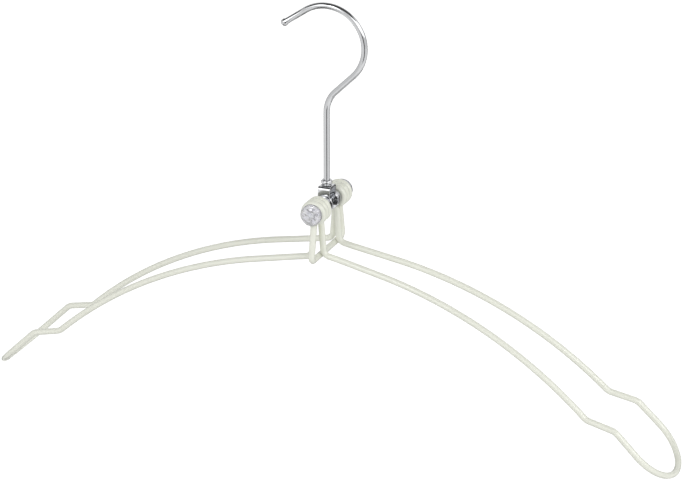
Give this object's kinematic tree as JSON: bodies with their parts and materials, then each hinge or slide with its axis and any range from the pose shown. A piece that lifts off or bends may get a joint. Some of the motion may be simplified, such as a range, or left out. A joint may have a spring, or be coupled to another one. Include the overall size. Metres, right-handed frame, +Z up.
{
  "type": "folding hanger",
  "caption": "Folding clothes hanger of coated wire; both arms fold up about a common axle, a stirrup stops them at their working angle, and a chromed hook swivels above.",
  "frame": {"origin": "inner crown of the hook, where the wire lies on the rail, in line with the stem and the hub", "axes": "+X along the right arm, +Y to the back along the axle, +Z up along the hook's stem"},
  "size_m": [0.4196, 0.0486, 0.2461],
  "materials": {
    "hook_chrome": "bright",
    "fittings_chrome": "bright",
    "axle_steel": "zinc plated",
    "spring_steel": "oiled",
    "bush_steel": "bright plated",
    "clear_cap": "glossy, slightly cloudy",
    "coated_wire": "satin plastic coating"
  },
  "bodies": {
    "hook": {"hook": "hook_chrome", "hook_collar": "fittings_chrome", "hook_washer": "fittings_chrome"},
    "bracket": {"bracket": "fittings_chrome", "axle": "axle_steel", "front_bush": "bush_steel", "rear_bush": "bush_steel", "front_push_nut": "spring_steel", "rear_push_nut": "spring_steel", "front_cap": "clear_cap", "rear_cap": "clear_cap"},
    "stirrup": {"stop_yoke": "coated_wire"},
    "left_arm": {"left_arm": "coated_wire"},
    "right_arm": {"right_arm": "coated_wire"}
  },
  "joints": [
    {"name": "hook_swivel", "type": "hinge", "parent": "hook", "child": "bracket", "pos_m": [0, 0, -0.1022], "axis": [0, 0, 1], "continuous": true},
    {"name": "frame_swing", "type": "hinge", "parent": "bracket", "child": "stirrup", "pos_m": [0, 0, -0.11255], "axis": [0, 1, 0], "range_deg": [-170, 170]},
    {"name": "left_arm_fold", "type": "hinge", "parent": "stirrup", "child": "left_arm", "pos_m": [0, 0, -0.11255], "axis": [0, 1, 0], "range_deg": [0, 110]},
    {"name": "right_arm_fold", "type": "hinge", "parent": "stirrup", "child": "right_arm", "pos_m": [0, 0, -0.11255], "axis": [0, -1, 0], "range_deg": [0, 110]}
  ]
}
